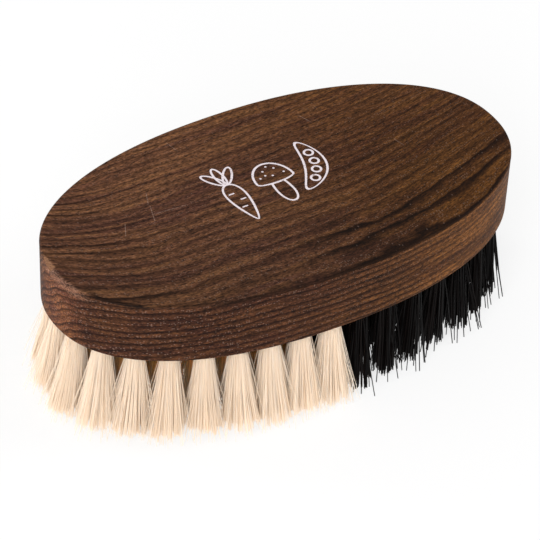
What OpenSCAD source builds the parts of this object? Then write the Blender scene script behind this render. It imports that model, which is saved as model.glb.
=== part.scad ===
// Oval vegetable brush: a solid wood block with blind holes, one folded tuft of
// bristle in each hole, a flat metal anchor in the fold of each tuft, and a foil
// drawing pressed into the top. The light half is soft fibre, the dark half stiff.
// Frame: millimetres, +X along the block towards the dark half, +Z up. The tips
// of the bristles stand on z = 0, and the origin is under the block's centre.

/* [Wood block] */
// Length of the block, along X
block_length = 135; // [115:1:165]
// Width of the block, along Y
block_width = 73.8; // [62:0.2:90]
// Thickness of the block
block_thickness = 18.5; // [16:0.5:24]
// Fullness of the oval: 2 is an ellipse, and more is squarer
outline_power = 2.2; // [2:0.05:2.6]
// How much further in the foot of the side lies than its top
side_draft = 0.5; // [0:0.1:0.8]
// Radius of the rounded edges
edge_round = 0.8; // [0.6:0.1:1.6]

/* [Tuft holes] */
// Diameter of a hole
hole_d = 5; // [4:0.1:5.6]
// Depth of a hole to its shoulder
hole_depth = 11; // [9:0.5:13]
// Angle of the drill's point
drill_point = 118; // [90:1:140]
// From the block's outline to the centres of the outer row
edge_inset = 5; // [4.6:0.1:6]
// Distance between the holes of a row
hole_pitch = 8.85; // [7.4:0.05:12]
// Distance between two rows at the ends of the block
end_step = 10.2; // [9:0.1:11]
// From the middle of the front to the first dark tuft of the outer row
first_tuft = 5.5; // [4.5:0.1:6]
// Tufts with their centre further along X than this are dark
colour_split = -2.5; // [-3:0.1:-1]

/* [Tufts] */
// Free length of the bristles below the block
bristle_length = 26; // [18:0.5:30]
// Strands in a tuft
strands_per_tuft = 5; // [4:1:5]
// Gap between the strands where they leave the hole, and between two tufts' tips
strand_gap = 0.25; // [0.15:0.05:0.5]
// How far the tips of the outer light tufts lean outwards
light_lean = 2.4; // [0:0.1:3]
// How much of the room between tufts the dark tips fill
dark_fill = 0.82; // [0.7:0.01:1]
// How far a strand has moved towards its tip's place halfway down
bow = 0.42; // [0.3:0.01:0.5]
// Play between a tuft and its hole
tuft_play = 0.05; // [0.02:0.01:0.1]

/* [Anchors] */
// How far each end of an anchor bites into the side of its hole
anchor_bite = 0.7; // [0.4:0.1:1]
// Height of an anchor, along the hole
anchor_height = 1.6; // [1:0.1:2]
// Thickness of the anchor's strip
anchor_thickness = 0.35; // [0.25:0.05:0.5]
// Thickness of the folded bristle between an anchor and the hole's shoulder
fold_thickness = 1; // [0.6:0.1:1.5]
// Play between an anchor and the slots that it has cut
anchor_play = 0.03; // [0.02:0.01:0.05]

/* [Stamped foil] */
// Width of a foil line
line_width = 0.65; // [0.5:0.05:0.9]
// Thickness of the foil line
foil_thickness = 0.2; // [0.1:0.05:0.3]
// How far below the wood the stamp leaves the foil
foil_recess = 0.05; // [0.02:0.01:0.1]
// Play between the foil and the sides of its groove
foil_play = 0.02; // [0.02:0.01:0.05]
// Place of the drawing's middle
drawing_x = 2; // [-10:0.5:10]
// Place of the drawing's middle, across
drawing_y = 5; // [-5:0.5:8]
// Distance between two figures of the drawing
figure_pitch = 12.5; // [12:0.5:15]

/* [Hidden] */

// Kinds of bristle and sides of the brush
LIGHT = 0;
DARK = 1;
FRONT = 0;
BACK = 1;
MIDDLE = 2;
// Rows, from the outside in: three ovals and a straight row down the centre
OUTER = 0;
SECOND = 1;
THIRD = 2;
CENTRE = 3;

half_length = block_length / 2;
half_width = block_width / 2;
underside_z = bristle_length;
top_z = underside_z + block_thickness;
// Distance between two rows at the sides of the block
side_step = (half_width - edge_inset) / CENTRE;
// Depth of the cone that the drill's point leaves
cone_depth = hole_d / 2 / tan(drill_point / 2);
tuft_r = hole_d / 2 - tuft_play;
anchor_length = hole_d + 2 * anchor_bite;
groove_depth = foil_thickness + foil_recess;
// The strands stand in a ring that just fills the tuft, so its size gives their radius
ring_sine = sin(180 / strands_per_tuft);
strand_r =
    (2 * (tuft_r - strand_gap) * ring_sine - strand_gap) / (2 + 2 * ring_sine);
root_spread = tuft_r - strand_gap - strand_r;
// Height of the anchors' middle
anchor_z = underside_z + hole_depth - fold_thickness - anchor_height / 2;
// How deep a strand is rooted in the end of its tuft
strand_root = 0.6;
strand_sides = 3;
outline_sides = 96;
round_steps = 3;
curve_sides = 36;

// ---------------------------------------------------------------- outlines

// Point of an oval with half axes a and b, at angle u
function oval_point(a, b, u) =
    let (
        c = cos(u),
        s = sin(u),
        reach = pow(pow(abs(c), outline_power) + pow(abs(s), outline_power), -1 / outline_power)
    )
    [a * c * reach, b * s * reach];

// Outward direction of that oval at point p
function oval_normal(a, b, p) =
    let (
        slope_x = sign(p.x) * pow(abs(p.x), outline_power - 1) / pow(a, outline_power),
        slope_y = sign(p.y) * pow(abs(p.y), outline_power - 1) / pow(b, outline_power)
    )
    [slope_x, slope_y] / norm([slope_x, slope_y]);

// The block's outline at height z, moved inwards
function block_ring(z, inset) = [
    for (i = [0 : outline_sides - 1])
        let (
            p = oval_point(half_length, half_width, i * 360 / outline_sides),
            q = p - inset * oval_normal(half_length, half_width, p)
        )
        [q.x, q.y, z]
];

// ------------------------------------------------------------------- holes

// Length walked round an oval from the middle of its front, against its angle
function walk_table(a, b) = [
    for (
        i = 0, walked = 0;
        i <= 360;
        walked = walked + norm(oval_point(a, b, i - 89) - oval_point(a, b, i - 90)),
        i = i + 1
    )
        [walked, i - 90]
];

// The holes of an oval row, each as [place, outward direction, row]
function oval_row(row) =
    let (
        a = half_length - edge_inset - row * end_step,
        b = half_width - edge_inset - row * side_step,
        table = walk_table(a, b),
        around = table[360][0],
        count = round(around / hole_pitch),
        start = first_tuft - (row % 2) * hole_pitch / 2
    )
    [
        for (i = [0 : count - 1])
            let (
                walked = (start + i * around / count) % around,
                p = oval_point(a, b, lookup(walked, table))
            )
            [p, oval_normal(a, b, p), row]
    ];

// The holes of the centre row, in the same form
function centre_row() =
    let (
        reach = half_length - edge_inset - CENTRE * end_step,
        count = 1 + floor(2 * reach / hole_pitch)
    )
    [for (i = [0 : count - 1]) [[(i - (count - 1) / 2) * hole_pitch, 0], [0, -1], CENTRE]];

holes = concat(oval_row(OUTER), oval_row(SECOND), oval_row(THIRD), centre_row());

function fibre_of(hole) = hole[0].x > colour_split ? DARK : LIGHT;
function side_of(hole) = hole[2] == CENTRE ? MIDDLE : hole[0].y < 0 ? FRONT : BACK;

// Where the middle of a tuft's tips lies: the light rows lean outwards, the outer one most
function tip_place(hole) =
    fibre_of(hole) == DARK ? hole[0] : hole[0] + light_lean * (1 - hole[2] / CENTRE) * hole[1];

// Half the distance from a tuft's tips to the nearest other tips
function tip_room(hole) =
    let (own = tip_place(hole))
    min([for (other = holes) if (other[0] != hole[0]) norm(tip_place(other) - own)]) / 2;

// Numbers of the holes of one row, one fibre and one side
function group(row, fibre, side) = [
    for (i = [0 : len(holes) - 1])
        if (holes[i][2] == row && fibre_of(holes[i]) == fibre && side_of(holes[i]) == side) i
];

// ------------------------------------------------------------------ solids

// Closed skin over rings of points, from the lowest ring to the highest
module loft(rings) {
    n = len(rings[0]);
    top = (len(rings) - 1) * n;
    polyhedron(
        points = [for (ring = rings) each ring],
        faces = concat(
            [[for (i = [0 : n - 1]) i]],
            [
                for (k = [0 : len(rings) - 2], i = [0 : n - 1], half = [0, 1])
                    let (here = k * n + i, next = k * n + (i + 1) % n)
                    half == 0 ? [here, here + n, next + n] : [here, next + n, next]
            ],
            [[for (i = [n - 1 : -1 : 0]) top + i]]
        )
    );
}

// Blind hole with its drill point, and the slots that an anchor cuts at the bottom
module tuft_hole(place) {
    translate([place.x, place.y, underside_z])
        rotate_extrude($fn = 48)
            polygon([
                [0, -1],
                [hole_d / 2, -1],
                [hole_d / 2, hole_depth],
                [0, hole_depth + cone_depth]
            ]);
    anchor(place, anchor_play);
}

// Flat strip across a hole, larger all round by play
module anchor(place, play) {
    translate([place.x, place.y, anchor_z])
        cube(
            [anchor_length + 2 * play, anchor_thickness + 2 * play, anchor_height + 2 * play],
            center = true
        );
}

// One lock of bristle between two places, as three rings: tip, middle and root
module strand(root, tip, turn) {
    middle = root + bow * (tip - root);
    loft([
        for (stop = [[tip, 0], [middle, underside_z / 2], [root, underside_z + strand_root]])
            [
                for (i = [0 : strand_sides - 1])
                    let (angle = turn + i * 360 / strand_sides)
                    [
                        stop[0].x + strand_r * cos(angle),
                        stop[0].y + strand_r * sin(angle),
                        stop[1]
                    ]
            ]
    ]);
}

// Folded bunch that fills its hole, with its strands below the block
module tuft(number) {
    hole = holes[number];
    place = hole[0];
    tips = tip_place(hole);
    fill = fibre_of(hole) == DARK ? dark_fill : 1;
    tip_spread = fill * (tip_room(hole) - strand_gap / 2) - strand_r;
    difference() {
        translate([place.x, place.y, underside_z])
            cylinder(r = tuft_r, h = hole_depth - tuft_play, $fn = 48);
        anchor(place, anchor_play);
    }
    for (i = [0 : strands_per_tuft - 1]) {
        angle = number * 47 + i * 360 / strands_per_tuft;
        way = [cos(angle), sin(angle)];
        strand(place + root_spread * way, tips + tip_spread * way, angle);
    }
}

// ------------------------------------------------------------ foil drawing

// Closed curve w wide and h high, grown all round: narrower below by taper, ends raised by bend
function bulb(w, h, taper, bend, grow) = [
    for (i = [0 : curve_sides - 1])
        let (
            angle = i * 360 / curve_sides,
            x = (w / 2 * (1 + taper * sin(angle)) + grow) * cos(angle)
        )
        [x, (h / 2 + grow) * sin(angle) + bend * pow(x, 2)]
];

// Dome w wide and h high over an edge that sags, grown all round
function dome(w, h, sag, grow) = [
    for (i = [0 : curve_sides - 1])
        let (angle = i * 360 / curve_sides)
        [(w / 2 + grow) * cos(angle), ((sin(angle) > 0 ? h : sag) + grow) * sin(angle)]
];

// Line of a given width along a bulb
module bulb_line(w, h, width, taper = 0, bend = 0) {
    difference() {
        polygon(bulb(w, h, taper, bend, width / 2));
        polygon(bulb(w, h, taper, bend, -width / 2));
    }
}

module carrot_lines(width) {
    root_length = 16;
    leaf_length = 7.5;
    translate([0, -root_length / 4])
        bulb_line(5, root_length, width, taper = 0.5);
    for (lean = [-34, 0, 34])
        translate([0, root_length / 4])
            rotate(lean)
                translate([0, leaf_length / 2])
                    bulb_line(2.4, leaf_length, width);
    for (mark = [[-0.9, 0], [0.9, -3], [-0.4, -6]])
        translate(mark)
            square([1.7, 0.8 * width], center = true);
}

module mushroom_lines(width) {
    cap_w = 11;
    cap_h = 7;
    cap_sag = 1.4;
    stem_length = 12;
    difference() {
        polygon(dome(cap_w, cap_h, cap_sag, width / 2));
        polygon(dome(cap_w, cap_h, cap_sag, -width / 2));
    }
    difference() {
        translate([0, -stem_length / 3])
            bulb_line(4.4, stem_length, width, taper = -0.2);
        polygon(dome(cap_w, cap_h, cap_sag, 0));
    }
    for (dot = [[-3.4, 1.9], [-1.4, 4.2], [0.2, 1.6], [2, 4.2], [3.6, 1.7], [0.4, 5.6], [-1.6, 2.4]])
        translate(dot)
            circle(d = width, $fn = 24);
}

module pea_pod_lines(width) {
    bend = 0.035;
    pea_d = 2.4;
    rotate(68) {
        bulb_line(20, 6, width, bend = bend);
        for (x = [-5.4, -1.8, 1.8, 5.4])
            translate([x, bend * x * x])
                difference() {
                    circle(d = pea_d + width, $fn = 24);
                    circle(d = pea_d - width, $fn = 24);
                }
    }
}

// A figure's lines as a solid that starts at height z, at its place in the drawing
module in_drawing(column, z, height) {
    translate([drawing_x + column * figure_pitch, drawing_y, z])
        linear_extrude(height = height)
            children();
}

// --------------------------------------------------------------- sub-parts

module wood_block() {
    groove_z = top_z - groove_depth;
    groove_line = line_width + 2 * foil_play;
    bottom_rings = [
        for (k = [0 : round_steps])
            let (angle = 90 * k / round_steps)
            block_ring(
                underside_z + edge_round * (1 - cos(angle)),
                side_draft + edge_round * (1 - sin(angle))
            )
    ];
    top_rings = [
        for (k = [round_steps : -1 : 0])
            let (angle = 90 * k / round_steps)
            block_ring(top_z - edge_round * (1 - cos(angle)), edge_round * (1 - sin(angle)))
    ];
    color("#4f3626")
        difference() {
            loft(concat(bottom_rings, top_rings));
            for (hole = holes)
                tuft_hole(hole[0]);
            in_drawing(-1, groove_z, 1)
                carrot_lines(groove_line);
            in_drawing(0, groove_z, 1)
                mushroom_lines(groove_line);
            in_drawing(1, groove_z, 1)
                pea_pod_lines(groove_line);
        }
}

module foil_carrot() {
    color("#e6e2dc")
        in_drawing(-1, top_z - groove_depth, foil_thickness)
            carrot_lines(line_width);
}

module foil_mushroom() {
    color("#e6e2dc")
        in_drawing(0, top_z - groove_depth, foil_thickness)
            mushroom_lines(line_width);
}

module foil_pea_pod() {
    color("#e6e2dc")
        in_drawing(1, top_z - groove_depth, foil_thickness)
            pea_pod_lines(line_width);
}

module tufts(row, fibre, side) {
    color(fibre == LIGHT ? "#ecd2b0" : "#1c1614")
        for (number = group(row, fibre, side))
            tuft(number);
}

module anchors(row, fibre, side) {
    color("#9a9a98")
        for (number = group(row, fibre, side))
            anchor(holes[number][0], 0);
}

wood_block();
foil_carrot();
foil_mushroom();
foil_pea_pod();
tufts(OUTER, LIGHT, FRONT);  // light_tufts_outer_front
tufts(OUTER, LIGHT, BACK);  // light_tufts_outer_back
tufts(SECOND, LIGHT, FRONT);  // light_tufts_second_front
tufts(SECOND, LIGHT, BACK);  // light_tufts_second_back
tufts(THIRD, LIGHT, FRONT);  // light_tufts_third_front
tufts(THIRD, LIGHT, BACK);  // light_tufts_third_back
tufts(CENTRE, LIGHT, MIDDLE);  // light_tufts_centre
tufts(OUTER, DARK, FRONT);  // dark_tufts_outer_front
tufts(OUTER, DARK, BACK);  // dark_tufts_outer_back
tufts(SECOND, DARK, FRONT);  // dark_tufts_second_front
tufts(SECOND, DARK, BACK);  // dark_tufts_second_back
tufts(THIRD, DARK, FRONT);  // dark_tufts_third_front
tufts(THIRD, DARK, BACK);  // dark_tufts_third_back
tufts(CENTRE, DARK, MIDDLE);  // dark_tufts_centre
anchors(OUTER, LIGHT, FRONT);  // light_anchors_outer_front
anchors(OUTER, LIGHT, BACK);  // light_anchors_outer_back
anchors(SECOND, LIGHT, FRONT);  // light_anchors_second_front
anchors(SECOND, LIGHT, BACK);  // light_anchors_second_back
anchors(THIRD, LIGHT, FRONT);  // light_anchors_third_front
anchors(THIRD, LIGHT, BACK);  // light_anchors_third_back
anchors(CENTRE, LIGHT, MIDDLE);  // light_anchors_centre
anchors(OUTER, DARK, FRONT);  // dark_anchors_outer_front
anchors(OUTER, DARK, BACK);  // dark_anchors_outer_back
anchors(SECOND, DARK, FRONT);  // dark_anchors_second_front
anchors(SECOND, DARK, BACK);  // dark_anchors_second_back
anchors(THIRD, DARK, FRONT);  // dark_anchors_third_front
anchors(THIRD, DARK, BACK);  // dark_anchors_third_back
anchors(CENTRE, DARK, MIDDLE);  // dark_anchors_centre
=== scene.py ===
import math

import bmesh
import bpy
import numpy as np
from mathutils import Matrix, Vector
from mathutils.geometry import delaunay_2d_cdt


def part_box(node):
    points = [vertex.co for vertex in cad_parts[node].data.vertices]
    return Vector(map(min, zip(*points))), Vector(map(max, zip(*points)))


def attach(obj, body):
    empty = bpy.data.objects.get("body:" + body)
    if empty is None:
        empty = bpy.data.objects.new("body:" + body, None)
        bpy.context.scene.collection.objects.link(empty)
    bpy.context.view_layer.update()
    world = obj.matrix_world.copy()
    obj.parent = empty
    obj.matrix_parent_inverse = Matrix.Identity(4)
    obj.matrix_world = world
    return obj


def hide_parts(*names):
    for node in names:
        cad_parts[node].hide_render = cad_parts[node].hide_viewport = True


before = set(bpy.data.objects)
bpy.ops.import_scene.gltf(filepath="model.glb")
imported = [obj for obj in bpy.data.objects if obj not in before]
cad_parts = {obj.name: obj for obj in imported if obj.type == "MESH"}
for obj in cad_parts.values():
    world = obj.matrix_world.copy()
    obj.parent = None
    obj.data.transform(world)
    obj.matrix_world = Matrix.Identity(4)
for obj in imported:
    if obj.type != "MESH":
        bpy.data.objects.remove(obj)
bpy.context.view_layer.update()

# ------------------------------------------------------------------ camera
# The brush is seen from its light front corner, 39 degrees above the table, through a
# long lens. Place, turn and lens were fitted to the edges of the block in the photograph.
camera_place = Vector((-0.5179, -0.7826, 0.7787))
camera_azimuth = math.radians(-33.412)
camera_elevation = math.radians(39.027)
camera_roll = math.radians(2.670)

camera = bpy.data.objects.new("camera", bpy.data.cameras.new("camera"))
camera.data.sensor_width = 36
camera.data.lens = 305
camera.matrix_world = (
    Matrix.Translation(camera_place)
    @ Matrix.Rotation(camera_azimuth, 4, "Z")
    @ Matrix.Rotation(math.pi / 2 - camera_elevation, 4, "X")
    @ Matrix.Rotation(camera_roll, 4, "Z")
)
bpy.context.scene.collection.objects.link(camera)
bpy.context.scene.camera = camera

# -------------------------------------------------------------- wood block
# The back is one oval block of heat-treated ash, shaped on a spindle, drilled from below
# with a blind hole for each tuft, and sanded so that all its edges are soft.
mm = 0.001
block_low, block_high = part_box("wood_block")
outline_power = 2.2
outline_points = 720
side_draft = 0.5 * mm
edge_round = 0.8 * mm
round_steps = 6
# Heights of the rings of points on the side, below the top and above the foot
side_depths = [1.1, 1.4, 1.8, 2.4, 3.2, 4.5, 6.5, 9, 11.5, 14, 16, 17]
# Rings of points on the flat top, this far in from its outline
top_margins = [1.1, 1.4, 1.8, 2.4, 3.2, 4.5, 6]
foot_margin = 1.6 * mm
hole_sides = 32
hole_depth = 11 * mm
drill_point = math.radians(118)
tuft_play = 0.05 * mm
groove_play = 0.02 * mm
# A sliver has broken off the top edge at the light end: where it starts and stops along Y,
# and how deep it goes at its deep end
chip_start = 0.6 * mm
chip_stop = 8.8 * mm
chip_depth = 1.4 * mm
# Where more than this is broken off, the wood is bare
worn_from = 0.12 * mm


def oval(turns):
    """Points of the block's outline, at angles in radians."""
    half = (block_high - block_low) / 2
    c = np.cos(turns)
    s = np.sin(turns)
    reach = (np.abs(c) ** outline_power + np.abs(s) ** outline_power) ** (-1 / outline_power)
    return np.stack([half.x * c * reach, half.y * s * reach], axis=1)


def outward(points):
    """Direction that points out of the outline, square to it, at each point."""
    half = np.array((block_high - block_low) / 2)[:2]
    slope = np.sign(points) * np.abs(points) ** (outline_power - 1) / half**outline_power
    return slope / np.linalg.norm(slope, axis=1)[:, None]


def even_outline(count):
    """The outline with its points at even steps along it."""
    fine = oval(np.linspace(0, 2 * math.pi, 20 * count + 1))
    walked = np.concatenate([[0], np.cumsum(np.linalg.norm(np.diff(fine, axis=0), axis=1))])
    stops = np.linspace(0, walked[-1], count, endpoint=False)
    return np.stack([np.interp(stops, walked, fine[:, axis]) for axis in (0, 1)], axis=1)


def solids_of(node):
    """The points of each separate solid in a CAD node, as arrays."""
    shape = bmesh.new()
    shape.from_mesh(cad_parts[node].data)
    bmesh.ops.remove_doubles(shape, verts=shape.verts, dist=0.001 * mm)
    waiting = set(shape.verts)
    solids = []
    while waiting:
        reached = [waiting.pop()]
        for point in reached:
            for edge in point.link_edges:
                other = edge.other_vert(point)
                if other in waiting:
                    waiting.remove(other)
                    reached.append(other)
        solids.append(np.array([point.co[:] for point in reached]))
    shape.free()
    return solids


def top_loops(node):
    """The closed outlines of a flat node's upper face, each as an array of points."""
    shape = bmesh.new()
    shape.from_mesh(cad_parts[node].data)
    bmesh.ops.remove_doubles(shape, verts=shape.verts, dist=0.001 * mm)
    upper = {face for face in shape.faces if face.normal.z > 0.9}
    ways = {}
    for face in upper:
        for loop in face.loops:
            if sum(other in upper for other in loop.edge.link_faces) == 1:
                ways[loop.vert.co[:2]] = loop.link_loop_next.vert.co[:2]
    shape.free()
    loops = []
    while ways:
        here = next(iter(ways))
        loop = []
        while here in ways:
            loop.append(here)
            here = ways.pop(here)
        loops.append(np.array(loop))
    return loops


def widened(loop, play):
    """A closed outline moved outwards, to the right of its own direction."""
    ahead = np.roll(loop, -1, axis=0) - loop
    ahead /= np.linalg.norm(ahead, axis=1)[:, None]
    side = np.stack([ahead[:, 1], -ahead[:, 0]], axis=1)
    middle = side + np.roll(side, 1, axis=0)
    middle /= np.linalg.norm(middle, axis=1)[:, None]
    return loop + play * middle


def inside(points, loop):
    """Whether each point lies inside a closed outline."""
    x, y = points[:, :1], points[:, 1:]
    ax, ay = loop[:, 0], loop[:, 1]
    bx, by = np.roll(ax, -1), np.roll(ay, -1)
    spans = (ay > y) != (by > y)
    rise = np.where(by == ay, 1, by - ay)
    crossed = spans & (x < (bx - ax) * (y - ay) / rise + ax)
    return crossed.sum(axis=1) % 2 == 1


class Skin:
    """Points and faces of a mesh while it is put together."""

    def __init__(self):
        self.points = []
        self.faces = []
        # Values kept on the first points: distance from the top edge, and how worn it is
        self.rim = []
        self.worn = []

    def ring(self, outline, z):
        """Adds a ring of points at a height, or each at its own, and returns their numbers."""
        start = len(self.points)
        self.points += np.column_stack([outline, np.broadcast_to(z, len(outline))]).tolist()
        return list(range(start, len(self.points)))

    def wall(self, lower, upper):
        """Joins two rings of equal count with quads."""
        for i in range(len(lower)):
            j = (i + 1) % len(lower)
            self.faces.append((lower[i], lower[j], upper[j], upper[i]))

    def flat(self, rings):
        """Fills the first ring and returns the triangles that lie in the cut-outs."""
        numbers = [number for ring in rings for number in ring]
        flat_points = np.array([self.points[number][:2] for number in numbers])
        edges = []
        start = 0
        for ring in rings:
            edges += [(start + i, start + (i + 1) % len(ring)) for i in range(len(ring))]
            start += len(ring)
        found = delaunay_2d_cdt([Vector(p) for p in flat_points], edges, [], 0, 1e-8)
        triangles = np.array([[found[3][corner][0] for corner in face] for face in found[2]])
        centres = flat_points[triangles].mean(axis=1)
        cut = np.zeros(len(triangles), bool)
        start = len(rings[0])
        for ring in rings[1:]:
            cut ^= inside(centres, flat_points[start : start + len(ring)])
            start += len(ring)
        triangles = np.array(numbers)[triangles]
        self.faces += [tuple(face) for face in triangles[~cut].tolist()]
        return triangles[cut].tolist()

    def piece(self, name, sharp=math.radians(35)):
        """The finished mesh as an object, smooth but for its sharp edges."""
        mesh = bpy.data.meshes.new(name)
        mesh.from_pydata(self.points, [], self.faces)
        tidy = bmesh.new()
        tidy.from_mesh(mesh)
        bmesh.ops.recalc_face_normals(tidy, faces=tidy.faces)
        tidy.to_mesh(mesh)
        tidy.free()
        mesh.shade_smooth()
        mesh.set_sharp_from_angle(angle=sharp)
        far = [6.0] * (len(self.points) - len(self.rim))
        mesh.attributes.new("rim", "FLOAT", "POINT").data.foreach_set("value", self.rim + far)
        none = [0.0] * len(far)
        mesh.attributes.new("worn", "FLOAT", "POINT").data.foreach_set("value", self.worn + none)
        made = bpy.data.objects.new(name, mesh)
        bpy.context.scene.collection.objects.link(made)
        return made


outline = even_outline(outline_points)
outward_ways = outward(outline)
anchor_nodes = [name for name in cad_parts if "anchors" in name]
tuft_nodes = [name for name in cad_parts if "tufts" in name]
foil_nodes = [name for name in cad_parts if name.startswith("foil")]
# Each hole lies round the anchor that is driven into it
anchor_solids = [solid for name in anchor_nodes for solid in solids_of(name)]
hole_places = [(solid.min(axis=0) + solid.max(axis=0))[:2] / 2 for solid in anchor_solids]

# The block's profile from the foot to the top, as heights and distances in from the outline
rounding = [math.pi / 2 * step / round_steps for step in range(round_steps + 1)]
profile = [
    (
        block_low.z + edge_round * (1 - math.cos(angle)),
        side_draft + edge_round * (1 - math.sin(angle)),
    )
    for angle in rounding
]
side_height = block_high.z - block_low.z
for depth in reversed(side_depths):
    profile.append((block_high.z - depth * mm, side_draft * depth * mm / side_height))
for angle in reversed(rounding):
    profile.append((
        block_high.z - edge_round * (1 - math.cos(angle)),
        edge_round * (1 - math.sin(angle)),
    ))
profile += [(block_high.z, margin * mm) for margin in top_margins]

# How deep the chip cuts across the edge at each point of the outline: it starts at once,
# thins out towards the back, and its floor is rough
dice = np.random.default_rng(7)
along = (outline[:, 1] - chip_start) / (chip_stop - chip_start)
chipped = (along > 0) & (along < 1) & (outline[:, 0] < 0)
rough = np.interp(along, np.linspace(0, 1, 14), dice.uniform(0.8, 1.15, 14))
thinning = np.clip(along * 9, 0, 1) * np.clip(1.15 - along, 0, 1) ** 0.8
cut = np.where(chipped, chip_depth * thinning * rough, 0)

block = Skin()
rings = []
for z, inset in profile:
    broken = np.clip(cut - inset - (block_high.z - z), 0, None) / 2
    rings.append(block.ring(outline - (inset + broken)[:, None] * outward_ways, z - broken))
    # Distance from the edge along the profile, in millimetres, less than 0 on the side
    block.rim += [(inset - (block_high.z - z)) / mm] * outline_points
    block.worn += np.clip(broken / worn_from, 0, 1).tolist()
for lower, upper in zip(rings, rings[1:]):
    block.wall(lower, upper)

foot = block.ring(outline - (side_draft + foot_margin) * outward_ways, block_low.z)
block.wall(foot, rings[0])
tuft_points = solids_of(tuft_nodes[0])[0]
tuft_points = tuft_points[tuft_points[:, 2] > block_low.z + hole_depth / 2]
hole_radius = np.ptp(tuft_points[:, 0]) / 2 + tuft_play
corners = np.linspace(0, 2 * math.pi, hole_sides, endpoint=False)
circle = hole_radius * np.stack([np.cos(corners), np.sin(corners)], axis=1)
mouths = []
for place in hole_places:
    mouth = block.ring(place + circle, block_low.z)
    shoulder = block.ring(place + circle, block_low.z + hole_depth)
    mouths.append(mouth)
    block.wall(mouth, shoulder)
    block.points.append((*place, block_low.z + hole_depth + hole_radius / math.tan(drill_point / 2)))
    tip = len(block.points) - 1
    block.faces += [(shoulder[i], shoulder[i - 1], tip) for i in range(hole_sides)]
block.flat([foot] + mouths)

groove_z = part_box(foil_nodes[0])[0].z
grooves = []
floors = {}
for node in foil_nodes:
    for loop in top_loops(node):
        wide = widened(loop, groove_play)
        lip = block.ring(wide, block_high.z)
        floor_ring = block.ring(wide, groove_z)
        block.wall(lip, floor_ring)
        grooves.append(lip)
        floors.update(zip(lip, floor_ring))
for triangle in block.flat([rings[-1]] + grooves):
    block.faces.append(tuple(floors[corner] for corner in triangle))
wood_block = block.piece("block_of_ash")


def linear(colour):
    """A colour written as #rrggbb, as Blender's linear values."""
    values = [int(colour[i : i + 2], 16) / 255 for i in (1, 3, 5)]
    return [v / 12.92 if v < 0.04045 else ((v + 0.055) / 1.055) ** 2.4 for v in values] + [1]


def add(material, kind, inputs=None, **settings):
    """Adds a shader node with its settings. An input is a value, or a node or output to link."""
    tree = material.node_tree
    node = tree.nodes.new("ShaderNode" + kind)
    for name, value in settings.items():
        setattr(node, name, value)
    for name, value in (inputs or {}).items():
        if isinstance(value, bpy.types.Node):
            value = next(output for output in value.outputs if output.enabled)
        if isinstance(name, str):
            socket = next(s for s in node.inputs if s.enabled and s.name == name)
        else:
            socket = node.inputs[name]
        if isinstance(value, bpy.types.NodeSocket):
            tree.links.new(value, socket)
        else:
            socket.default_value = value
    return node


# Heat-treated ash, sanded and waxed: chocolate brown with fine flecked grain, darker wavy
# lines of late wood, open pores that show as short pale flecks, and hardly any shine
ash = bpy.data.materials.new("waxed_heat_treated_ash")
ash.use_nodes = True
ash.node_tree.nodes.clear()
# The growth rings lie round a pith below the block's front edge, in millimetres
pith_y = -50
pith_z = -22
ring_width = 1.9
# The grain runs along X and swings towards the back at both ends, most at the front right
left_swing_from = -37
left_swing = 0.0128
right_swing_from = 5
right_swing = 0.006

place = add(ash, "TexCoord").outputs["Object"]
place_mm = add(ash, "VectorMath", {"Vector": place, "Scale": 1000}, operation="SCALE")
axes = add(ash, "SeparateXYZ", {0: place_mm})
x_mm, y_mm, z_mm = axes.outputs
left_reach = add(ash, "Math", {0: left_swing_from, 1: x_mm}, operation="SUBTRACT")
left_reach = add(ash, "Math", {0: left_reach, 1: 0}, operation="MAXIMUM")
left_bend = add(ash, "Math", {0: left_reach, 1: left_reach}, operation="MULTIPLY")
left_bend = add(ash, "Math", {0: left_bend, 1: left_swing}, operation="MULTIPLY")
right_reach = add(ash, "Math", {0: x_mm, 1: right_swing_from}, operation="SUBTRACT")
right_reach = add(ash, "Math", {0: right_reach, 1: 0}, operation="MAXIMUM")
right_bend = add(ash, "Math", {0: right_reach, 1: right_reach}, operation="MULTIPLY")
back_swing = 0.1 * right_swing
right_share = add(ash, "MapRange", {0: y_mm, 1: -36, 2: 36, 3: right_swing, 4: back_swing})
right_bend = add(ash, "Math", {0: right_bend, 1: right_share}, operation="MULTIPLY")
bend = add(ash, "Math", {0: left_bend, 1: right_bend}, operation="ADD")
across = add(ash, "Math", {0: y_mm, 1: bend}, operation="SUBTRACT")
grain = add(ash, "CombineXYZ", {"X": x_mm, "Y": across, "Z": z_mm})


def grain_noise(where, length, width, detail, roughness=0.5):
    """Noise drawn out along the grain, its marks this long and wide in millimetres."""
    scale = (1 / length, 1 / width, 1 / width)
    scaled = add(ash, "VectorMath", {0: where, 1: scale}, operation="MULTIPLY")
    return add(
        ash,
        "TexNoise",
        {"Vector": scaled, "Scale": 1, "Detail": detail, "Roughness": roughness},
    )


def between(value, low, high, soft):
    """1 where a value lies between two others, with soft ends."""
    rises = add(ash, "MapRange", {0: value, 1: low - soft, 2: low})
    falls = add(ash, "MapRange", {0: value, 1: high, 2: high + soft, 3: 1, 4: 0})
    return add(ash, "Math", {0: rises, 1: falls}, operation="MULTIPLY")


# Distance from the pith, which the rings follow, with a waver of up to half this many millimetres
waver_size = 3
waver = add(ash, "Math", {0: grain_noise(grain, 22, 8, 3), 1: 0.5}, operation="SUBTRACT")
from_pith_y = add(ash, "Math", {0: across, 1: pith_y}, operation="SUBTRACT")
from_pith_z = add(ash, "Math", {0: z_mm, 1: pith_z}, operation="SUBTRACT")
from_pith = add(ash, "CombineXYZ", {"X": from_pith_y, "Y": from_pith_z})
radius = add(ash, "VectorMath", {0: from_pith}, operation="LENGTH").outputs["Value"]
radius = add(ash, "Math", {0: waver, 1: waver_size, 2: radius}, operation="MULTIPLY_ADD")
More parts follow.
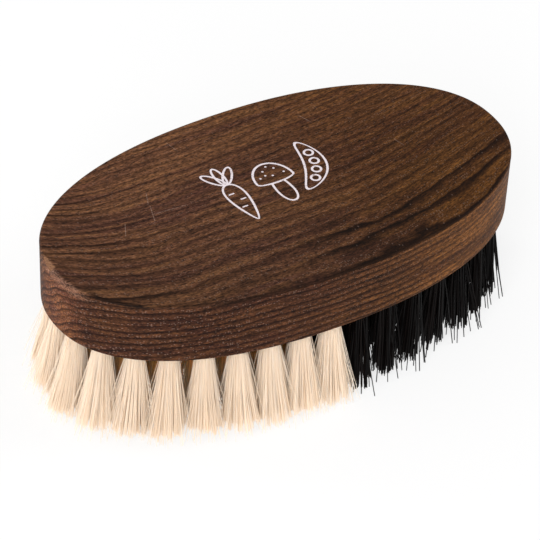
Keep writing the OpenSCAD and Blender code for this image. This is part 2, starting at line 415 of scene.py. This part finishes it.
# Along a ring, at its mean distance from the pith, marks run on three times as far as across
mean_radius = 65
ring_run = 3
round_pith = add(ash, "Math", {0: from_pith_z, 1: from_pith_y}, operation="ARCTAN2")
round_pith = add(ash, "Math", {0: round_pith, 1: mean_radius / ring_run}, operation="MULTIPLY")
ring_place = add(ash, "CombineXYZ", {"X": x_mm, "Y": radius, "Z": round_pith})
turns = add(ash, "Math", {0: radius, 1: ring_width}, operation="DIVIDE")
year_part = add(ash, "Math", {0: turns}, operation="FRACT")
year = add(ash, "Math", {0: turns}, operation="FLOOR")
year_chance = add(ash, "TexWhiteNoise", {"W": year}, noise_dimensions="1D").outputs["Value"]
# The late wood darkens towards the end of a year and stops in a sharper edge
late_rise = add(ash, "MapRange", {0: year_part, 1: 0.35, 2: 0.85}, interpolation_type="SMOOTHSTEP")
late_end = add(ash, "MapRange", {0: year_part, 1: 0.88, 2: 1.0, 3: 1, 4: 0})
late = add(ash, "Math", {0: late_rise, 1: late_end}, operation="MULTIPLY")
# The early wood, in the first part of a year, holds the widest pores
early = add(ash, "MapRange", {0: year_part, 1: 0.42, 2: 0.3})

# Bands of tone 55 mm long, streaks, and fine fibres that look like short flecks
band = grain_noise(grain, 55, 7, 2)
streak = grain_noise(ring_place, 18, 0.8, 3)
fibre = grain_noise(grain, 3.5, 0.45, 2, 0.7)
fleck_noise = grain_noise(grain, 0.9, 0.36, 1, 0.6)

# Pores: tubes cut open by the surface, 0.65 mm long and a fifth of a ring apart
pore_length = 0.65
pores_per_ring = 5
pore_width = 0.38
pore_steps = (1 / pore_length, pores_per_ring / ring_width, 1 / pore_width)
pore_scale = add(ash, "VectorMath", {0: ring_place, 1: pore_steps}, operation="MULTIPLY")
pore_cell = add(ash, "TexVoronoi", {"Vector": pore_scale, "Scale": 1, "Randomness": 0.7})
pore = add(ash, "MapRange", {0: pore_cell.outputs["Distance"], 1: 0.38, 2: 0.16})
pore_chance = add(ash, "SeparateXYZ", {0: pore_cell.outputs["Color"]})
pore_limit = add(ash, "MapRange", {0: early, 3: 0.9, 4: 0.25})
pore_kept = add(ash, "Math", {0: pore_chance.outputs[0], 1: pore_limit}, operation="GREATER_THAN")
pore = add(ash, "Math", {0: pore, 1: pore_kept}, operation="MULTIPLY")

brown = linear("#62402b")
olive = linear("#5c3e23")
plum = linear("#513226")
late_brown = linear("#231107")
pale = linear("#a68b7d")

tone = add(ash, "MapRange", {0: band, 1: 0.38, 2: 0.62})
colour = add(ash, "Mix", {"Factor": tone, "A": plum, "B": brown}, data_type="RGBA")
hue = add(ash, "MapRange", {0: streak, 1: 0.45, 2: 0.7, 4: 0.6})
colour = add(ash, "Mix", {"Factor": hue, "A": colour, "B": olive}, data_type="RGBA")
# The late wood shows most at the light end, on the sides, and in a zone at the front right
normal = add(ash, "SeparateXYZ", {0: add(ash, "NewGeometry").outputs["Normal"]})
side = add(ash, "MapRange", {0: normal.outputs["Z"], 1: 0.8, 2: 0.35})
light_end = add(ash, "MapRange", {0: x_mm, 1: -38, 2: -52})
right_part = between(x_mm, 2, 58, 12)
front_part = between(across, -44, -22, 8)
front_right = add(ash, "Math", {0: right_part, 1: front_part}, operation="MULTIPLY")
# Some years draw weaker lines than others, but not in that zone
year_weight = add(ash, "MapRange", {0: year_chance, 3: 0.55, 4: 1.0})
year_weight = add(ash, "Math", {0: year_weight, 1: front_right}, operation="MAXIMUM")
late = add(ash, "Math", {0: late, 1: year_weight}, operation="MULTIPLY")
late_zone = add(ash, "Math", {0: light_end, 1: front_right}, operation="MAXIMUM")
dark_end = add(ash, "MapRange", {0: x_mm, 1: 0, 2: 35})
dark_side = add(ash, "Math", {0: side, 1: dark_end}, operation="MULTIPLY")
light_side = add(ash, "Math", {0: side, 1: dark_side}, operation="SUBTRACT")
late_zone = add(ash, "Math", {0: late_zone, 1: light_side}, operation="MAXIMUM")
late_share = add(ash, "MapRange", {0: late_zone, 3: 0.62, 4: 1})
plain_side = add(ash, "MapRange", {0: dark_side, 3: 1, 4: 0.45})
late_share = add(ash, "Math", {0: late_share, 1: plain_side}, operation="MULTIPLY")
late_share = add(ash, "Math", {0: late, 1: late_share}, operation="MULTIPLY")
colour = add(ash, "Mix", {"Factor": late_share, "A": colour, "B": late_brown}, data_type="RGBA")
# In the zone at the front right broad bands swing further between dark and light
band_swing = 1.5
band_tone = add(ash, "Math", {0: band, 1: 0.5}, operation="SUBTRACT")
zone_swing = add(ash, "Math", {0: front_right, 1: band_swing}, operation="MULTIPLY")
band_tone = add(ash, "Math", {0: band_tone, 1: zone_swing, 2: 1}, operation="MULTIPLY_ADD")
band_tone = add(ash, "Math", {0: band_tone, 1: 0.5}, operation="MAXIMUM")
colour = add(ash, "VectorMath", {0: colour, "Scale": band_tone}, operation="SCALE")
streak_tone = add(ash, "MapRange", {0: streak, 1: 0.3, 2: 0.7, 3: 0.64, 4: 1.36}, clamp=False)
fibre_tone = add(ash, "MapRange", {0: fibre, 1: 0.3, 2: 0.7, 3: 0.6, 4: 1.4}, clamp=False)
fleck_tone = add(ash, "MapRange", {0: fleck_noise, 1: 0.3, 2: 0.7, 3: 0.4, 4: 1.6}, clamp=False)
grain_tone = add(ash, "Math", {0: streak_tone, 1: fibre_tone}, operation="MULTIPLY")
grain_tone = add(ash, "Math", {0: grain_tone, 1: fleck_tone}, operation="MULTIPLY")
colour = add(ash, "VectorMath", {0: colour, "Scale": grain_tone}, operation="SCALE")

# Painted light and shade: each side is painted darker or brighter than the top by the way it
# faces: how bright each side is beside the top, from the light end, by the front, to the dark end
side_light_stops = [
    (0, 1.3),
    (0.02, 0.85),
    (0.06, 0.52),
    (0.36, 0.42),
    (0.55, 0.55),
    (0.7, 1.3),
    (1, 1.05),
]
facing_end = add(ash, "MapRange", {0: normal.outputs["X"], 1: -1, 2: 1})
painted_light_and_shade = add(ash, "ValToRGB", {0: facing_end})
ramp = painted_light_and_shade.color_ramp.elements
for stop, brightness in side_light_stops:
    element = ramp[0] if stop == 0 else ramp[-1] if stop == 1 else ramp.new(stop)
    element.color = (brightness / 2, brightness / 2, brightness / 2, 1)
painted_light_and_shade = add(ash, "Math", {0: painted_light_and_shade.outputs["Color"], 1: 2}, operation="MULTIPLY")
# Painted shade: the top is painted a little darker along the front
painted_front_shade = add(ash, "MapRange", {0: y_mm, 1: -25, 2: 25, 3: 0.72, 4: 1.07})
painted_light_and_shade = add(ash, "Mix", {"Factor": side, "A": painted_front_shade, "B": painted_light_and_shade})
colour = add(ash, "VectorMath", {0: colour, "Scale": painted_light_and_shade}, operation="SCALE")
# Towards the dark bristles the top turns a little darker and yellower, and the sides lose
# the red that they have at the light end
turned = add(ash, "MapRange", {0: x_mm, 1: -26, 2: 44}, interpolation_type="SMOOTHSTEP")
turned_share = add(ash, "MapRange", {0: y_mm, 1: 25, 2: -25, 3: 0.7, 4: 1})
turned = add(ash, "Math", {0: turned, 1: turned_share}, operation="MULTIPLY")
turned_tint = add(
    ash, "Mix", {"Factor": turned, "A": (1, 1, 1, 1), "B": (0.74, 0.66, 0.32, 1)}, data_type="RGBA"
)
side_turned = add(ash, "MapRange", {0: x_mm, 1: -25, 2: 40})
side_tint = add(
    ash,
    "Mix",
    {"Factor": side_turned, "A": (1.08, 0.94, 0.85, 1), "B": (0.95, 0.85, 0.46, 1)},
    data_type="RGBA",
)
tint = add(ash, "Mix", {"Factor": side, "A": turned_tint, "B": side_tint}, data_type="RGBA")
colour = add(ash, "VectorMath", {0: colour, 1: tint}, operation="MULTIPLY")
# The pores are pale in their own colour, and paler on the sides towards the light end, where a painted
# glint off the pore edges is added
pore_glint_side = add(ash, "MapRange", {0: x_mm, 1: 5, 2: -30, 3: 0.2, 4: 1})
pore_glint_side = add(ash, "Math", {0: side, 1: pore_glint_side}, operation="MULTIPLY")
pale_pore_and_glint = add(ash, "MapRange", {0: pore_glint_side, 3: 0.18, 4: 0.32})
pale_pore_and_glint = add(ash, "Math", {0: pore, 1: pale_pore_and_glint}, operation="MULTIPLY")
colour = add(ash, "Mix", {"Factor": pale_pore_and_glint, "A": colour, "B": pale}, data_type="RGBA")

# Use has left a few fine pale scratches on the top, drawn a little wider than they are: where
# each starts and stops, in millimetres
scratches = [
    ((-33, 7.6), (-24.7, 6.9)),
    ((-30.8, 15.8), (-32.3, 12.3)),
    ((-32.6, 10.6), (-34.4, 5.4)),
    ((-15, 31.6), (-14.4, 28.1)),
    ((-42.1, 7.3), (-44, 3.8)),
    ((38.7, 3.6), (39.2, 1.4)),
    ((22, 24.9), (23, 21.8)),
]
scratch_width = 0.3
scratched = 0
for start, stop in scratches:
    run = Vector(stop) - Vector(start)
    way = run.normalized()
    from_start = add(ash, "VectorMath", {0: place_mm, 1: (*start, 0)}, operation="SUBTRACT")
    walked = add(ash, "VectorMath", {0: from_start, 1: (*way, 0)}, operation="DOT_PRODUCT")
    beside = (-way.y, way.x, 0)
    off = add(ash, "VectorMath", {0: from_start, 1: beside}, operation="DOT_PRODUCT")
    off = add(ash, "Math", {0: off}, operation="ABSOLUTE")
    line = add(ash, "MapRange", {0: off, 1: scratch_width / 2, 2: 0})
    line = add(ash, "Math", {0: line, 1: between(walked, 0, run.length, 1)}, operation="MULTIPLY")
    scratched = add(ash, "Math", {0: scratched, 1: line}, operation="MAXIMUM")
scratch_share = add(ash, "MapRange", {0: fleck_noise, 1: 0.35, 2: 0.65, 3: 0.1, 4: 0.7})
scratch_share = add(ash, "Math", {0: scratched, 1: scratch_share}, operation="MULTIPLY")
on_top = add(ash, "Math", {0: 1, 1: side}, operation="SUBTRACT")
scratch_share = add(ash, "Math", {0: scratch_share, 1: on_top}, operation="MULTIPLY")
colour = add(ash, "Mix", {"Factor": scratch_share, "A": colour, "B": pale}, data_type="RGBA")

# Painted shade: the rounded top edge is darkened in places along the front, where it turns from
# the light and in a small dent; the edge is pale where the sliver broke off
rim = add(ash, "Attribute", attribute_name="rim").outputs["Fac"]
worn = add(ash, "Attribute", attribute_name="worn").outputs["Fac"]
at_front = add(ash, "MapRange", {0: y_mm, 1: -8, 2: -12})
dent_shade = between(x_mm, -63, -55, 2)
front_edge_shade = between(x_mm, -38, 40, 8)
front_edge_shade = add(ash, "Math", {0: front_edge_shade, 1: 0.8}, operation="MULTIPLY")
painted_edge_shade = add(ash, "Math", {0: dent_shade, 1: front_edge_shade}, operation="MAXIMUM")
edge_shade_band = between(rim, -0.3, 0.7, 0.4)
painted_edge_shade = add(ash, "Math", {0: painted_edge_shade, 1: edge_shade_band}, operation="MULTIPLY")
painted_edge_shade = add(ash, "Math", {0: painted_edge_shade, 1: at_front}, operation="MULTIPLY")
edge_shade_gaps = add(ash, "MapRange", {0: streak, 1: 0.35, 2: 0.55, 3: 0.5, 4: 1})
painted_edge_shade = add(ash, "Math", {0: painted_edge_shade, 1: edge_shade_gaps}, operation="MULTIPLY")
colour = add(ash, "Mix", {"Factor": painted_edge_shade, "A": colour, "B": linear("#140803")}, data_type="RGBA")
# Painted highlight: the rounded edge below the chip is painted paler, where it catches the light
painted_edge_highlight = between(rim, -2.2, 0, 1)
highlight_end = between(y_mm, -9, 3, 4)
highlight_end = add(ash, "Math", {0: highlight_end, 1: light_end}, operation="MULTIPLY")
painted_edge_highlight = add(ash, "Math", {0: painted_edge_highlight, 1: highlight_end}, operation="MULTIPLY")
highlight_share = add(ash, "MapRange", {0: fleck_noise, 1: 0.35, 2: 0.65, 3: 0.02, 4: 0.4})
painted_edge_highlight = add(ash, "Math", {0: painted_edge_highlight, 1: highlight_share}, operation="MULTIPLY")
colour = add(ash, "Mix", {"Factor": painted_edge_highlight, "A": colour, "B": linear("#a07a66")}, data_type="RGBA")
bare = add(
    ash,
    "Mix",
    {"Factor": fleck_noise, "A": linear("#4f3120"), "B": linear("#9a7052")},
    data_type="RGBA",
)
bare_share = add(ash, "Math", {0: worn, 1: 0.8}, operation="MULTIPLY")
colour = add(ash, "Mix", {"Factor": bare_share, "A": colour, "B": bare}, data_type="RGBA")

bump_height = add(ash, "Math", {0: pore, 1: -0.6, 2: fibre}, operation="MULTIPLY_ADD")
bump = add(ash, "Bump", {"Height": bump_height, "Strength": 0.5, "Distance": 0.05 * mm})
ash_shader = add(
    ash,
    "BsdfPrincipled",
    {"Base Color": colour, "Roughness": 0.62, "Specular IOR Level": 0.08, "Normal": bump},
)
add(ash, "OutputMaterial", {"Surface": ash_shader})
wood_block.data.materials.append(ash)
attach(wood_block, "root")
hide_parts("wood_block")

# ------------------------------------------------------------ steel anchors
# A flat strip of steel wire lies across the bottom of each hole, inside the fold of the
# tuft. It is cut and driven in by the filling machine, and its ends bite into the wood.
steel = bpy.data.materials.new("flattened_steel_wire")
steel.use_nodes = True
steel.node_tree.nodes.clear()
steel_place = add(steel, "TexCoord").outputs["Object"]
# Drawing marks along the strip, about 0.1 mm apart
drawn_scale = add(steel, "VectorMath", {0: steel_place, 1: (200, 9000, 9000)}, operation="MULTIPLY")
drawn = add(steel, "TexNoise", {"Vector": drawn_scale, "Scale": 1, "Detail": 2})
steel_colour = add(
    steel, "Mix", {"Factor": drawn, "A": linear("#8c8b88"), "B": linear("#b2b0ab")}, data_type="RGBA"
)
steel_rough = add(steel, "MapRange", {0: drawn, 3: 0.3, 4: 0.5})
steel_shader = add(
    steel, "BsdfPrincipled", {"Base Color": steel_colour, "Metallic": 1, "Roughness": steel_rough}
)
add(steel, "OutputMaterial", {"Surface": steel_shader})
for name in anchor_nodes:
    for material_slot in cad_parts[name].material_slots:
        material_slot.material = steel

# ------------------------------------------------------- bristles, both kinds
# Each tuft is a bunch of hairs folded in half over its anchor, so both ends of every hair
# stand out of the hole. The ends are trimmed together, but never come out quite even.
hair_sides = 3
# The anchor holds the two halves of a fold this far apart from its middle
strip_room = 0.3 * mm
# How far a hair may stand outside the block along X and Y
hair_reach = np.array([4.5, 2.8]) * mm
golden_angle = math.pi * (3 - math.sqrt(5))
anchor_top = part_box(anchor_nodes[0])[1].z
fold_top = block_low.z + hole_depth - tuft_play


class Hairs:
    """Folded hairs, gathered tuft by tuft into one mesh."""

    def __init__(self):
        self.points = np.zeros((0, 3))
        self.faces = []
        self.tones = np.zeros(0)
        self.depths = np.zeros(0)

    def lay(self, paths, lifts, radii, tones, depth):
        """Adds tubes along paths. lifts is the second axis of the section at each stop."""
        count, stops = paths.shape[:2]
        turns = np.arange(hair_sides) * 2 * math.pi / hair_sides
        turns = turns[None, :] + 6 * tones[:, None]
        sideways = np.array([1.0, 0, 0])
        section = (
            np.cos(turns)[:, None, :, None] * sideways
            + np.sin(turns)[:, None, :, None] * lifts[None, :, None, :]
        )
        points = paths[:, :, None, :] + radii[:, :, None, None] * section
        first = len(self.points) + np.arange(count)[:, None, None] * stops * hair_sides
        low = first + np.arange(stops - 1)[None, :, None] * hair_sides
        here = low + np.arange(hair_sides)
        after = low + np.roll(np.arange(hair_sides), -1)
        walls = np.stack([here, after, after + hair_sides, here + hair_sides], axis=-1)
        start_caps = first[:, 0] + np.arange(hair_sides)[::-1]
        end_caps = first[:, 0] + (stops - 1) * hair_sides + np.arange(hair_sides)
        self.faces += walls.reshape(-1, 4).tolist() + start_caps.tolist() + end_caps.tolist()
        self.points = np.concatenate([self.points, points.reshape(-1, 3)])
        self.tones = np.concatenate([self.tones, np.repeat(tones, stops * hair_sides)])
        self.depths = np.concatenate([self.depths, np.full(count * stops * hair_sides, depth)])

    def piece(self, name, material):
        """The finished mesh as an object, with each hair's tone and depth in the brush."""
        mesh = bpy.data.meshes.new(name)
        mesh.from_pydata(self.points.tolist(), [], self.faces)
        mesh.shade_smooth()
        mesh.set_sharp_from_angle(angle=math.radians(75))
        mesh.attributes.new("tone", "FLOAT", "POINT").data.foreach_set("value", self.tones)
        mesh.attributes.new("depth", "FLOAT", "POINT").data.foreach_set("value", self.depths)
        mesh.materials.append(material)
        made = bpy.data.objects.new(name, mesh)
        bpy.context.scene.collection.objects.link(made)
        return made


def tip_ends(roots, place, tips, reach, lift, kind, dice):
    """Where the free end of each hair lies, as points."""
    count = len(roots)
    own = (roots - place) / np.linalg.norm(roots - place, axis=1).max()
    own = own * dice.uniform(0.88, 1.06, (count, 1)) + dice.normal(0, 0.06, (count, 2))
    # Neighbouring hairs cling together in small locks
    lock_turn = dice.uniform(0, 2 * math.pi, kind["locks"])
    lock_out = np.sqrt(dice.uniform(0.05, 1, kind["locks"]))
    locks = lock_out[:, None] * np.stack([np.cos(lock_turn), np.sin(lock_turn)], axis=1)
    nearest = np.linalg.norm(own[:, None] - locks[None], axis=2).argmin(axis=1)
    own += kind["cling"] * (locks[nearest] - own)
    flat = tips + reach * own
    height = lift + kind["trim"] * dice.uniform(0, 1, kind["locks"])[nearest]
    height += np.abs(dice.normal(0, kind["ragged"], count))
    # A few hairs stand away from the bunch
    loose = dice.uniform(0, 1, count) < kind["loose"]
    stray = own + dice.normal(0, 0.35, (count, 2))
    stray /= np.linalg.norm(stray, axis=1)[:, None]
    flat += loose[:, None] * stray * dice.uniform(0.5, 1, (count, 1)) * kind["stray"]
    height = np.where(loose, dice.uniform(0, 1, count) * kind["trim"], height)
    edge = np.array(block_high)[:2] + hair_reach
    flat = np.clip(flat, -edge, edge)
    return np.column_stack([flat, height])


def bunch(hairs, points, kind, dice):
    """Lays one tuft, where its CAD solid stands."""
    held = points[points[:, 2] > block_low.z + hole_depth / 2][:, :2]
    place = (held.min(axis=0) + held.max(axis=0)) / 2
    ends = points[points[:, 2] < mm][:, :2]
    tips = ends.mean(axis=0)
    reach = kind["spread"] * np.linalg.norm(ends - tips, axis=1).max() * dice.uniform(0.88, 1.12)
    # No tuft stands quite straight, and those at the ends of the block lean out further
    tips = tips + dice.normal(0, kind["lean"], 2)
    tips[0] += kind["end_lean"] * (place[0] / block_high.x) ** 5
    # How far the tuft stands inside the block's outline, in millimetres
    share = (np.abs(place / np.array(block_high)[:2]) ** outline_power).sum() ** (1 / outline_power)
    depth = (1 - share) * block_high.y / mm
    # The tufts are not all of one length
    lift = kind["uneven"] * dice.uniform(0, 1)
    thick = kind["thickness"] / 2
    room = held[:, 0].max() - place[0] - thick
    step = np.arange(2 * kind["hairs"])
    turn = step * golden_angle + dice.uniform(0, 2 * math.pi)
    out = room * np.sqrt((step + 0.5) / len(step))
    spots = np.stack([out * np.cos(turn), out * np.sin(turn)], axis=1)
    spots = spots[spots[:, 1] > 0]
    count = len(spots)
    tones = dice.uniform(0, 1, count)
    legs = []
    for side in (1, -1):
        roots = place + spots * [1, side]
        mouth = np.column_stack([roots, np.full(count, block_low.z)])
        bend_y = place[1] + side * (strip_room + spots[:, 1] * (1 - strip_room / room))
        shoulder = np.column_stack([roots[:, 0], bend_y, np.full(count, anchor_top)])
        end = tip_ends(roots, place, tips, reach, lift, kind, dice)
        middle = mouth + 0.5 * (end - mouth)
        middle[:, :2] -= (0.5 - kind["bow"]) * (end - mouth)[:, :2]
        middle[:, :2] += dice.normal(0, kind["wave"], (count, 2))
        legs.append([end, middle, mouth, shoulder])
    crown_z = anchor_top + thick + (fold_top - anchor_top - 2 * thick) * spots[:, 1] / room
    crown = np.column_stack([place[0] + spots[:, 0], np.full(count, place[1]), crown_z])
    paths = np.stack(legs[0] + [crown] + legs[1][::-1], axis=1)
    lifts = np.array([(0, 1, 0)] * 4 + [(0, 0, 1)] + [(0, -1, 0)] * 4, float)
    taper = np.array([kind["point"], 1, 1, 1, 1, 1, 1, 1, kind["point"]])
    radii = thick * taper * dice.uniform(0.85, 1.15, (count, 1))
    hairs.lay(paths, lifts, radii, tones, depth)


def fill_holes(word, kind, material, dice):
    """Makes one piece of hairs for each CAD node of tufts of one kind."""
    for node in tuft_nodes:
        if node.startswith(word):
            hairs = Hairs()
            for points in solids_of(node):
                bunch(hairs, points, kind, dice)
            made = hairs.piece(node.replace("tufts", "hairs"), material)
            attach(made, "root")
            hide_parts(node)


# ----------------------------------------------------------- light bristles
# The light half is soft plant fibre, fine and undyed. Its tufts flare below the block until
# their ends nearly meet.
light = {
    "hairs": 350,
    "thickness": 0.2 * mm,
    "spread": 1.12,
    "locks": 40,
    "cling": 0.12,
    "trim": 2.6 * mm,
    "ragged": 0.5 * mm,
    "uneven": 1.2 * mm,
    "loose": 0.08,
    "stray": 4 * mm,
    "lean": 0.35 * mm,
    "end_lean": 0.5 * mm,
    "bow": 0.45,
    "wave": 0.06 * mm,
    "point": 0.75,
}
# Soft plant fibre, combed: matt cream, each hair of its own tone, and light shines through it
cream = bpy.data.materials.new("matt_cream_plant_fibre")
cream.use_nodes = True
cream.node_tree.nodes.clear()
cream_tone = add(cream, "Attribute", attribute_name="tone").outputs["Fac"]
cream_colour = add(
    cream,
    "Mix",
    {"Factor": cream_tone, "A": linear("#fdf9f2"), "B": linear("#f9ecdb")},
    data_type="RGBA",
)
# Painted shade: among the inner tufts, near the block, the hairs are painted golden, for light
# that comes to them only through other hairs, and they let more light through
painted_inner_shade = add(cream, "Attribute", attribute_name="depth").outputs["Fac"]
painted_inner_shade = add(cream, "MapRange", {0: painted_inner_shade, 1: 5, 2: 10})
cream_place = add(cream, "TexCoord").outputs["Object"]
cream_height = add(cream, "SeparateXYZ", {0: cream_place}).outputs["Z"]
near_block = add(cream, "MapRange", {0: cream_height, 1: 6 * mm, 2: 16 * mm})
painted_inner_shade = add(cream, "Math", {0: painted_inner_shade, 1: near_block}, operation="MULTIPLY")
cream_colour = add(
    cream, "Mix", {"Factor": painted_inner_shade, "A": cream_colour, "B": linear("#ffe3a6")}, data_type="RGBA"
)
cream_light = add(
    cream, "Mix", {"Factor": painted_inner_shade, "A": linear("#fcf4ea"), "B": linear("#ffe0a0")}, data_type="RGBA"
)
cream_skin = add(
    cream, "BsdfPrincipled", {"Base Color": cream_colour, "Roughness": 0.5, "Specular IOR Level": 0.3}
)
cream_glow = add(cream, "BsdfTranslucent", {"Color": cream_light})
cream_share = add(cream, "MapRange", {0: painted_inner_shade, 3: 0.72, 4: 0.88})
cream_shader = add(cream, "MixShader", {0: cream_share, 1: cream_skin, 2: cream_glow})
add(cream, "OutputMaterial", {"Surface": cream_shader})
fill_holes("light", light, cream, np.random.default_rng(11))

# ------------------------------------------------------------ dark bristles
# The dark half is stiff dark bristle, thick and nearly straight. Its ends are cut roughly,
# and some hairs stand away from their tuft.
dark = {
    "hairs": 64,
    "thickness": 0.34 * mm,
    "spread": 1.05,
    "locks": 9,
    "cling": 0.3,
    "trim": 1.3 * mm,
    "ragged": 0.8 * mm,
    "uneven": 1.2 * mm,
    "loose": 0.1,
    "stray": 4 * mm,
    "lean": 0.6 * mm,
    "end_lean": 0.8 * mm,
    "bow": 0.47,
    "wave": 0.15 * mm,
    "point": 0.85,
}
# Stiff dark bristle: near black with a brown cast, with a slight sheen along each hair
black = bpy.data.materials.new("dark_bristle_slight_sheen")
black.use_nodes = True
black.node_tree.nodes.clear()
black_tone = add(black, "Attribute", attribute_name="tone").outputs["Fac"]
black_colour = add(
    black,
    "Mix",
    {"Factor": black_tone, "A": linear("#020101"), "B": linear("#0c0706")},
    data_type="RGBA",
)
black_shader = add(
    black, "BsdfPrincipled", {"Base Color": black_colour, "Roughness": 0.45, "Specular IOR Level": 0.08}
)
add(black, "OutputMaterial", {"Surface": black_shader})
fill_holes("dark", dark, black, np.random.default_rng(12))

# --------------------------------------------------------------- foil lines
# The drawing is pressed into the top with a hot stamp, which leaves a thin silver foil in
# shallow grooves. The grain of the wood breaks the foil up a little.
silver = bpy.data.materials.new("hot_stamped_silver_foil")
silver.use_nodes = True
silver.node_tree.nodes.clear()
silver_place = add(silver, "TexCoord").outputs["Object"]
# Bare specks where the foil missed the grain, about 0.3 mm wide and 1 mm long
speck_scale = add(silver, "VectorMath", {0: silver_place, 1: (900, 3200, 3200)}, operation="MULTIPLY")
speck = add(silver, "TexNoise", {"Vector": speck_scale, "Scale": 1, "Detail": 2})
speck = add(silver, "MapRange", {0: speck, 1: 0.6, 2: 0.72})
silver_colour = add(
    silver, "Mix", {"Factor": speck, "A": linear("#f3e8ed"), "B": linear("#a08c86")}, data_type="RGBA"
)
silver_rough = add(silver, "MapRange", {0: speck, 3: 0.42, 4: 0.7})
silver_shader = add(
    silver,
    "BsdfPrincipled",
    {"Base Color": silver_colour, "Metallic": 0.25, "Roughness": silver_rough},
)
add(silver, "OutputMaterial", {"Surface": silver_shader})
for name in foil_nodes:
    for material_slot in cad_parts[name].material_slots:
        material_slot.material = silver

# ------------------------------------------------------------ table and light
# A wide white table in a bright room: soft light all round, and four soft lamps, of which
# the strongest stands on the side of the light bristles.
table_size = 3
table_mesh = bpy.data.meshes.new("table")
half = table_size / 2
table_mesh.from_pydata(
    [(-half, -half, 0), (half, -half, 0), (half, half, 0), (-half, half, 0)], [], [(0, 1, 2, 3)]
)
table = bpy.data.objects.new("table", table_mesh)
bpy.context.scene.collection.objects.link(table)
# White lacquer that shows white to the camera and in reflections, with a faint shadow
lacquer = bpy.data.materials.new("white_table_lacquer")
lacquer.use_nodes = True
lacquer.node_tree.nodes.clear()
table_white = 0.75
rays = add(lacquer, "LightPath")
camera_ray = rays.outputs["Is Camera Ray"]
glossy_ray = rays.outputs["Is Glossy Ray"]
through_ray = rays.outputs["Is Transmission Ray"]
seen = add(lacquer, "Math", {0: camera_ray, 1: glossy_ray}, operation="ADD")
seen = add(lacquer, "Math", {0: seen, 1: through_ray}, operation="ADD", use_clamp=True)
seen = add(lacquer, "Math", {0: seen, 1: table_white}, operation="MULTIPLY")
lacquer_paint = add(lacquer, "BsdfDiffuse", {"Color": linear("#fafafa")})
lacquer_glow = add(lacquer, "Emission", {"Color": linear("#ffffff"), "Strength": 1})
lacquer_mix = add(lacquer, "MixShader", {0: seen, 1: lacquer_paint, 2: lacquer_glow})
add(lacquer, "OutputMaterial", {"Surface": lacquer_mix})
table_mesh.materials.append(lacquer)

room_light = 0.53
room = bpy.data.worlds.new("room")
bpy.context.scene.world = room
room.use_nodes = True
room.node_tree.nodes.clear()
room_rays = add(room, "LightPath")
camera_ray = room_rays.outputs["Is Camera Ray"]
through_ray = room_rays.outputs["Is Transmission Ray"]
room_seen = add(room, "Math", {0: camera_ray, 1: through_ray}, operation="ADD", use_clamp=True)
room_strength = add(room, "MapRange", {0: room_seen, 3: room_light, 4: 1})
room_back = add(room, "Background", {"Color": linear("#ffffff"), "Strength": room_strength})
add(room, "OutputWorld", {"Surface": room_back})


def soft_lamp(name, place, size, watts):
    """A round soft lamp that points at the brush."""
    light_data = bpy.data.lights.new(name, "AREA")
    light_data.shape = "DISK"
    light_data.size = size
    light_data.energy = watts
    lamp = bpy.data.objects.new(name, light_data)
    lamp.location = place
    aim = Vector((0, 0, block_low.z)) - lamp.location
    lamp.rotation_euler = aim.to_track_quat("-Z", "Y").to_euler()
    bpy.context.scene.collection.objects.link(lamp)


soft_lamp("front_lamp", (-1.05, -1.0, 1.15), 1.2, 18)
soft_lamp("low_lamp", (-1.0, -1.1, 0.16), 0.7, 12.5)
soft_lamp("back_lamp", (-0.9, 1.3, 0.3), 0.8, 10)
soft_lamp("right_lamp", (1.3, -0.5, 0.9), 1.0, 9)

scene = bpy.context.scene
scene.view_settings.view_transform = "Standard"
